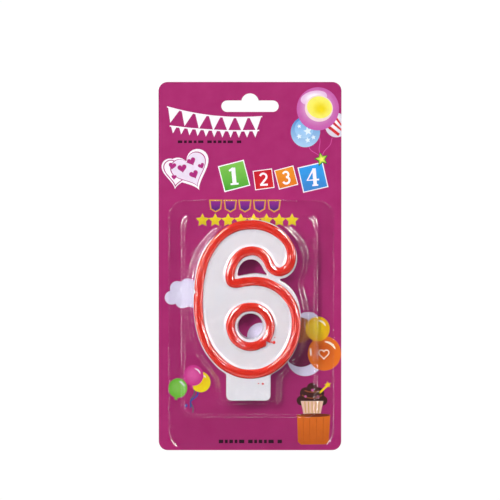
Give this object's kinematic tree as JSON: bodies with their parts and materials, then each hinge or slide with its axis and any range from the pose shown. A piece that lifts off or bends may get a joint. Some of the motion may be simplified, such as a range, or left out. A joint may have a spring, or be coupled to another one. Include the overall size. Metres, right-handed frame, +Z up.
{
  "type": "number birthday candle in a blister pack",
  "caption": "Wax number-six birthday candle with a raised red outline, held in a clear formed blister on a printed hanging card.",
  "frame": {"origin": "crown of the hang slot's round bump, halfway through the card's thickness", "axes": "+Z up along the pack's height, -Y towards the buyer out of the card's printed front, +X to the right as seen from the front"},
  "size_m": [0.09, 0.0136, 0.1815],
  "materials": {
    "printed_card": "glossy print on a white board",
    "clear_sheet": "clear and glossy",
    "white_wax": "satin wax",
    "red_paint_wax": "glossy wax paint",
    "wick_cotton": "waxed braided cotton"
  },
  "bodies": {
    "card": {"backing_card": "printed_card"},
    "blister": {"blister_shell": "clear_sheet"},
    "candle": {"candle_body": "white_wax", "outline_bead": "red_paint_wax", "counter_bead": "red_paint_wax", "paint_drips": "red_paint_wax", "wick": "wick_cotton"}
  },
  "joints": [
    {"name": "blister_peel", "type": "hinge", "parent": "card", "child": "blister", "pos_m": [0.0006, -0.0007, -0.0527], "axis": [-1, 0, 0], "range_deg": [0, 120]},
    {"name": "candle_lift", "type": "slide", "parent": "card", "child": "candle", "axis": [0, -1, 0], "range_m": [0, 0.0265]}
  ],
  "couplings": [
    {"joint": "candle_lift", "follows": "blister_peel", "m_per_rad": 0.0125}
  ]
}
